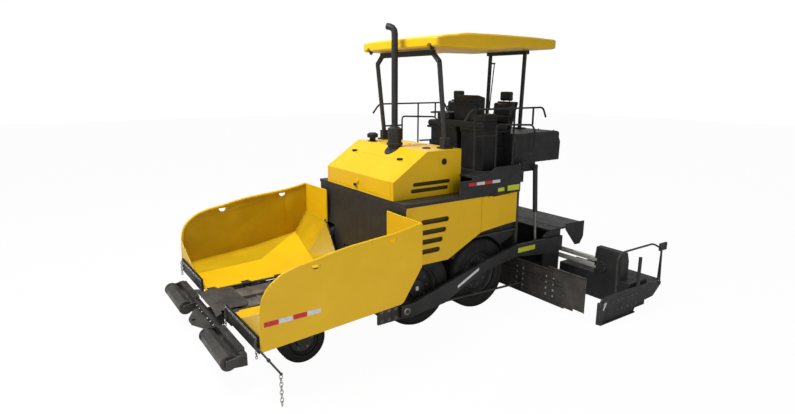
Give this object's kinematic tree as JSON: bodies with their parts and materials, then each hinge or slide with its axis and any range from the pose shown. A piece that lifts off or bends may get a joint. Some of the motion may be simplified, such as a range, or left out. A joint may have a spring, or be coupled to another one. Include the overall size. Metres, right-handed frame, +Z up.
{
  "type": "asphalt paver",
  "caption": "Wheeled road paver with a folding hopper, slat conveyors, twin-axle drive, canopy, operator platform and a floating, widening screed.",
  "frame": {"origin": "centre of the footprint on the floor", "axes": "+Z up, the machine drives towards -Y, its left side is +X"},
  "size_m": [5.18, 6.3, 4.0532],
  "materials": {
    "yellow_paint": "gloss machine enamel over folded sheet",
    "dark_paint": "satin dark grey machine enamel",
    "black_paint": "satin black tube paint",
    "moulded_black": "fine grained moulding",
    "flap_rubber": "thick sheet with a clamped strip",
    "bare_steel": "worn bare steel",
    "polished_rod": "hard chrome plate",
    "seat_leather": "grained black leatherette",
    "tyre_rubber": "tread rubber"
  },
  "bodies": {
    "machine": {"chassis": "dark_paint", "slat_conveyors": "bare_steel", "bulkhead": "dark_paint", "hood": "yellow_paint", "air_intake": "moulded_black", "exhaust_stack": "dark_paint", "engine_block": "dark_paint", "deck": "dark_paint", "operator_seats": "seat_leather", "control_console": "moulded_black", "rear_housing": "dark_paint", "front_roof_frame": "dark_paint", "rear_roof_frame": "dark_paint", "roof": "yellow_paint", "front_axle": "dark_paint", "push_beam": "dark_paint", "auger_frame": "dark_paint", "guard_rail_left": "black_paint", "guard_rail_right": "black_paint", "side_panel_left": "yellow_paint", "side_panel_right": "yellow_paint", "drive_housing_left": "dark_paint", "drive_housing_right": "dark_paint"},
    "engine_cover": {"hood_cover": "yellow_paint"},
    "hopper_left": {"hopper_wing_left": "yellow_paint", "hopper_flap_left": "flap_rubber", "guide_rod": "bare_steel"},
    "hopper_right": {"hopper_wing_right": "yellow_paint", "hopper_flap_right": "flap_rubber"},
    "door_left": {"rear_door_left": "yellow_paint"},
    "door_right": {"rear_door_right": "yellow_paint"},
    "roller_left": {"push_roller_left": "bare_steel"},
    "roller_right": {"push_roller_right": "bare_steel"},
    "steer_left": {"knuckle_left": "dark_paint"},
    "steer_right": {"knuckle_right": "dark_paint"},
    "track_rod": {"tie_rod": "bare_steel"},
    "front_wheel_left_spin": {"front_wheel_left": "tyre_rubber"},
    "front_wheel_right_spin": {"front_wheel_right": "tyre_rubber"},
    "screed": {"tow_arm_left": "dark_paint", "tow_arm_right": "dark_paint", "screed_body": "dark_paint"},
    "extension_left_slide": {"extension_left": "dark_paint", "end_gate_left": "dark_paint"},
    "extension_right_slide": {"extension_right": "dark_paint", "end_gate_right": "dark_paint"},
    "auger_left_spin": {"auger_left": "bare_steel"},
    "auger_right_spin": {"auger_right": "bare_steel"},
    "lift_barrel_left_swing": {"lift_barrel_left": "dark_paint"},
    "lift_barrel_right_swing": {"lift_barrel_right": "dark_paint"},
    "lift_rod_left_slide": {"lift_rod_left": "polished_rod"},
    "lift_rod_right_slide": {"lift_rod_right": "polished_rod"},
    "drive_wheel_a_left": {"drive_tyre_a_left": "tyre_rubber", "drive_rim_a_left": "dark_paint"},
    "drive_wheel_a_right": {"drive_tyre_a_right": "tyre_rubber", "drive_rim_a_right": "dark_paint"},
    "drive_wheel_b_left": {"drive_tyre_b_left": "tyre_rubber", "drive_rim_b_left": "dark_paint"},
    "drive_wheel_b_right": {"drive_tyre_b_right": "tyre_rubber", "drive_rim_b_right": "dark_paint"}
  },
  "joints": [
    {"name": "engine_cover_lift", "type": "hinge", "parent": "machine", "child": "engine_cover", "pos_m": [0, -0.33, 2.1952], "axis": [-1, 0, 0], "range_deg": [0, 60]},
    {"name": "hopper_left_fold", "type": "hinge", "parent": "machine", "child": "hopper_left", "pos_m": [0.42, -1.75, 0.508], "axis": [0, -1, 0], "range_deg": [0, 40]},
    {"name": "hopper_right_fold", "type": "hinge", "parent": "machine", "child": "hopper_right", "pos_m": [-0.42, -1.75, 0.508], "axis": [0, 1, 0], "range_deg": [0, 40]},
    {"name": "door_left_lift", "type": "hinge", "parent": "machine", "child": "door_left", "pos_m": [1.208, 1, 1.6667], "axis": [0, -1, 0], "range_deg": [0, 85]},
    {"name": "door_right_lift", "type": "hinge", "parent": "machine", "child": "door_right", "pos_m": [-1.208, 1, 1.6667], "axis": [0, 1, 0], "range_deg": [0, 85]},
    {"name": "roller_left_turn", "type": "hinge", "parent": "machine", "child": "roller_left", "pos_m": [0.89, -3.045, 0.318], "axis": [1, 0, 0], "continuous": true},
    {"name": "roller_right_turn", "type": "hinge", "parent": "machine", "child": "roller_right", "pos_m": [-0.89, -3.045, 0.318], "axis": [1, 0, 0], "continuous": true},
    {"name": "steering_left", "type": "hinge", "parent": "machine", "child": "steer_left", "pos_m": [0.88, -2.13, 0.29], "axis": [0, 0, 1], "range_deg": [-30, 30]},
    {"name": "steering_right", "type": "hinge", "parent": "machine", "child": "steer_right", "pos_m": [-0.88, -2.13, 0.29], "axis": [0, 0, 1], "range_deg": [-30, 30]},
    {"name": "track_rod_slide", "type": "slide", "parent": "machine", "child": "track_rod", "axis": [1, 0, 0], "range_m": [-0.08, 0.08]},
    {"name": "front_wheel_left_turn", "type": "hinge", "parent": "steer_left", "child": "front_wheel_left_spin", "pos_m": [1.095, -2.13, 0.28705], "axis": [1, 0, 0], "continuous": true},
    {"name": "front_wheel_right_turn", "type": "hinge", "parent": "steer_right", "child": "front_wheel_right_spin", "pos_m": [-1.095, -2.13, 0.28705], "axis": [1, 0, 0], "continuous": true},
    {"name": "drive_wheel_a_left_turn", "type": "hinge", "parent": "machine", "child": "drive_wheel_a_left", "pos_m": [0.9725, -0.406, 0.5246], "axis": [1, 0, 0], "continuous": true},
    {"name": "drive_wheel_a_right_turn", "type": "hinge", "parent": "machine", "child": "drive_wheel_a_right", "pos_m": [-0.9725, -0.406, 0.5246], "axis": [1, 0, 0], "continuous": true},
    {"name": "drive_wheel_b_left_turn", "type": "hinge", "parent": "machine", "child": "drive_wheel_b_left", "pos_m": [0.9725, 0.691, 0.5246], "axis": [1, 0, 0], "continuous": true},
    {"name": "drive_wheel_b_right_turn", "type": "hinge", "parent": "machine", "child": "drive_wheel_b_right", "pos_m": [-0.9725, 0.691, 0.5246], "axis": [1, 0, 0], "continuous": true},
    {"name": "screed_lift", "type": "hinge", "parent": "machine", "child": "screed", "pos_m": [0, -0.7, 0.33], "axis": [1, 0, 0], "range_deg": [0, 8]},
    {"name": "extension_left_in", "type": "slide", "parent": "screed", "child": "extension_left_slide", "axis": [-1, 0, 0], "range_m": [0, 1.18]},
    {"name": "extension_right_in", "type": "slide", "parent": "screed", "child": "extension_right_slide", "axis": [1, 0, 0], "range_m": [0, 1.18]},
    {"name": "auger_left_turn", "type": "hinge", "parent": "machine", "child": "auger_left_spin", "pos_m": [0.64, 1.768, 0.33], "axis": [1, 0, 0], "continuous": true},
    {"name": "lift_barrel_left_turn", "type": "hinge", "parent": "machine", "child": "lift_barrel_left_swing", "pos_m": [1.218, 1.69, 2.03], "axis": [1, 0, 0], "range_deg": [-5, 0]},
    {"name": "lift_rod_left_in", "type": "slide", "parent": "lift_barrel_left_swing", "child": "lift_rod_left_slide", "axis": [0, 0.0767, -0.9971], "range_m": [-0.345, 0]},
    {"name": "auger_right_turn", "type": "hinge", "parent": "machine", "child": "auger_right_spin", "pos_m": [-0.64, 1.768, 0.33], "axis": [1, 0, 0], "continuous": true},
    {"name": "lift_barrel_right_turn", "type": "hinge", "parent": "machine", "child": "lift_barrel_right_swing", "pos_m": [-1.218, 1.69, 2.03], "axis": [1, 0, 0], "range_deg": [-5, 0]},
    {"name": "lift_rod_right_in", "type": "slide", "parent": "lift_barrel_right_swing", "child": "lift_rod_right_slide", "axis": [0, 0.0767, -0.9971], "range_m": [-0.345, 0]}
  ],
  "couplings": [
    {"joint": "steering_right", "follows": "steering_left", "ratio": 1},
    {"joint": "track_rod_slide", "follows": "steering_left", "m_per_rad": -0.15},
    {"joint": "lift_barrel_left_turn", "follows": "screed_lift", "ratio": -0.618},
    {"joint": "lift_rod_left_in", "follows": "screed_lift", "m_per_rad": -2.4595},
    {"joint": "lift_barrel_right_turn", "follows": "screed_lift", "ratio": -0.618},
    {"joint": "lift_rod_right_in", "follows": "screed_lift", "m_per_rad": -2.4595}
  ]
}
